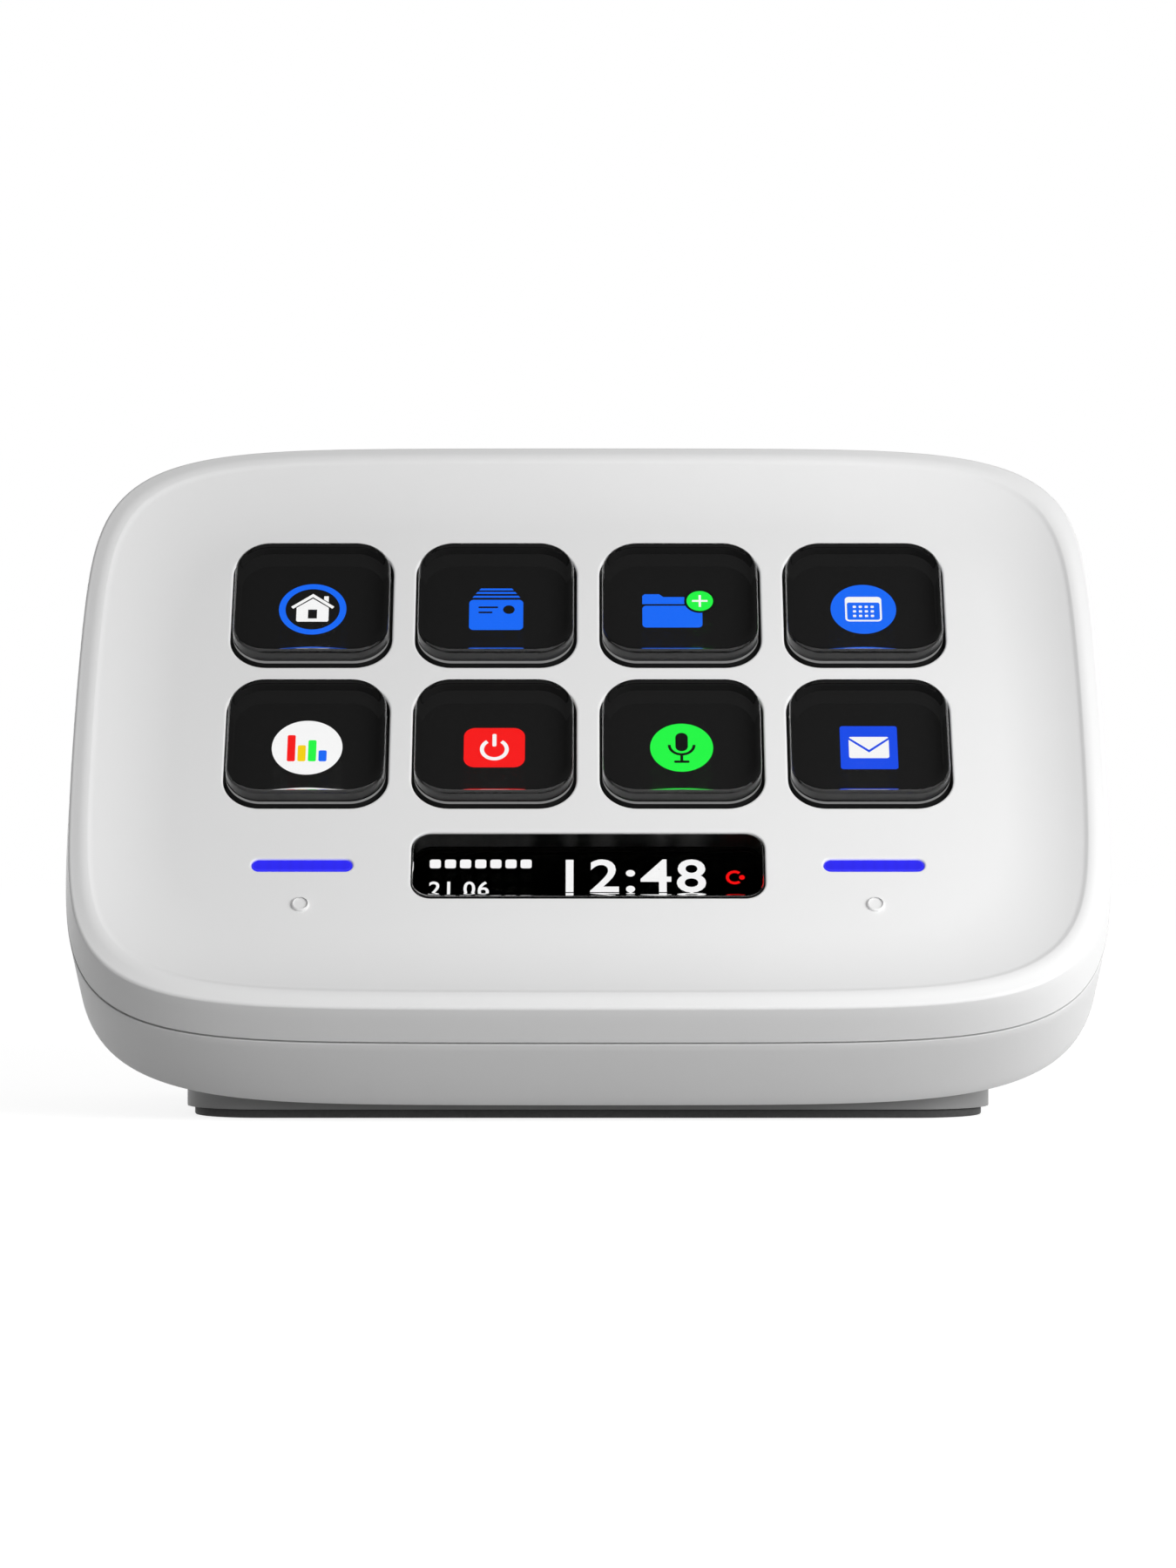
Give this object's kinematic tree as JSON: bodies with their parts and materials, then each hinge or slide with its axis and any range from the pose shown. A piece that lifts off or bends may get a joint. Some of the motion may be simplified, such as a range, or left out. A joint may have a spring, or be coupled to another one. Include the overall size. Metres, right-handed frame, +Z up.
{
  "type": "display key pad",
  "caption": "Compact leaning desk keypad with clear display keys, an info strip and touch points, in a white soft-cornered body on a fixed weighted stand.",
  "frame": {"origin": "centre of the rubber pad's underside, on the desk", "axes": "+X to the right seen from the front, +Y to the back, +Z up; the keyed face looks towards -Y and up"},
  "size_m": [0.1074, 0.0628, 0.0707],
  "materials": {
    "cover_white": "fine satin moulding",
    "shell_white": "fine satin moulding",
    "stand_white": "fine satin moulding",
    "base_black": "fine texture",
    "pad_rubber": "matt grip rubber",
    "frame_black": "matt black moulding",
    "key_clear": "polished clear moulding",
    "lens_clear": "polished clear moulding",
    "bar_blue": "frosted light guide, lit blue",
    "foam_grey": "conductive foam",
    "mat_silicone": "moulded silicone",
    "film_amber": "polyimide film",
    "display_glass": "polished",
    "diffuser_white": "diffusing sheet",
    "tray_steel": "stamped sheet",
    "board_green": "solder mask",
    "chip_black": "moulded package",
    "capacitor_tan": "fired body",
    "connector_ivory": "moulded",
    "socket_steel": "plated shell",
    "tongue_black": "moulded",
    "ballast_steel": "oiled plate",
    "screw_steel": "zinc plated"
  },
  "bodies": {
    "body": {"front_cover": "cover_white", "rear_shell": "shell_white", "stand": "stand_white", "base_plate": "base_black", "base_pad": "pad_rubber", "key_frame": "frame_black", "info_lens": "lens_clear", "light_bar_left": "bar_blue", "light_bar_right": "bar_blue", "touch_foam_left": "foam_grey", "touch_foam_right": "foam_grey", "key_mat": "mat_silicone", "contact_sheet": "film_amber", "lcd_panel": "display_glass", "backlight": "diffuser_white", "lcd_tray": "tray_steel", "main_board": "board_green", "processor_chip": "chip_black", "memory_chip": "chip_black", "board_capacitors": "capacitor_tan", "lcd_connector": "connector_ivory", "ribbon_connector": "connector_ivory", "lcd_flex": "film_amber", "usb_ribbon": "film_amber", "usb_board": "board_green", "usb_socket": "socket_steel", "usb_tongue": "tongue_black", "ballast": "ballast_steel", "cover_screws": "screw_steel", "board_screws": "screw_steel", "stand_screws": "screw_steel", "base_screws": "screw_steel"},
    "key_1": {"key_cap_1": "key_clear"},
    "key_2": {"key_cap_2": "key_clear"},
    "key_3": {"key_cap_3": "key_clear"},
    "key_4": {"key_cap_4": "key_clear"},
    "key_5": {"key_cap_5": "key_clear"},
    "key_6": {"key_cap_6": "key_clear"},
    "key_7": {"key_cap_7": "key_clear"},
    "key_8": {"key_cap_8": "key_clear"}
  },
  "joints": [
    {"name": "key_1_press", "type": "slide", "parent": "body", "child": "key_1", "axis": [0, 0.7547, -0.6561], "range_m": [0, 0.0012], "stiffness_N_per_m": 300, "springref_m": -0.0009, "deforming": ["key_mat"]},
    {"name": "key_2_press", "type": "slide", "parent": "body", "child": "key_2", "axis": [0, 0.7547, -0.6561], "range_m": [0, 0.0012], "stiffness_N_per_m": 300, "springref_m": -0.0009, "deforming": ["key_mat"]},
    {"name": "key_3_press", "type": "slide", "parent": "body", "child": "key_3", "axis": [0, 0.7547, -0.6561], "range_m": [0, 0.0012], "stiffness_N_per_m": 300, "springref_m": -0.0009, "deforming": ["key_mat"]},
    {"name": "key_4_press", "type": "slide", "parent": "body", "child": "key_4", "axis": [0, 0.7547, -0.6561], "range_m": [0, 0.0012], "stiffness_N_per_m": 300, "springref_m": -0.0009, "deforming": ["key_mat"]},
    {"name": "key_5_press", "type": "slide", "parent": "body", "child": "key_5", "axis": [0, 0.7547, -0.6561], "range_m": [0, 0.0012], "stiffness_N_per_m": 300, "springref_m": -0.0009, "deforming": ["key_mat"]},
    {"name": "key_6_press", "type": "slide", "parent": "body", "child": "key_6", "axis": [0, 0.7547, -0.6561], "range_m": [0, 0.0012], "stiffness_N_per_m": 300, "springref_m": -0.0009, "deforming": ["key_mat"]},
    {"name": "key_7_press", "type": "slide", "parent": "body", "child": "key_7", "axis": [0, 0.7547, -0.6561], "range_m": [0, 0.0012], "stiffness_N_per_m": 300, "springref_m": -0.0009, "deforming": ["key_mat"]},
    {"name": "key_8_press", "type": "slide", "parent": "body", "child": "key_8", "axis": [0, 0.7547, -0.6561], "range_m": [0, 0.0012], "stiffness_N_per_m": 300, "springref_m": -0.0009, "deforming": ["key_mat"]}
  ]
}
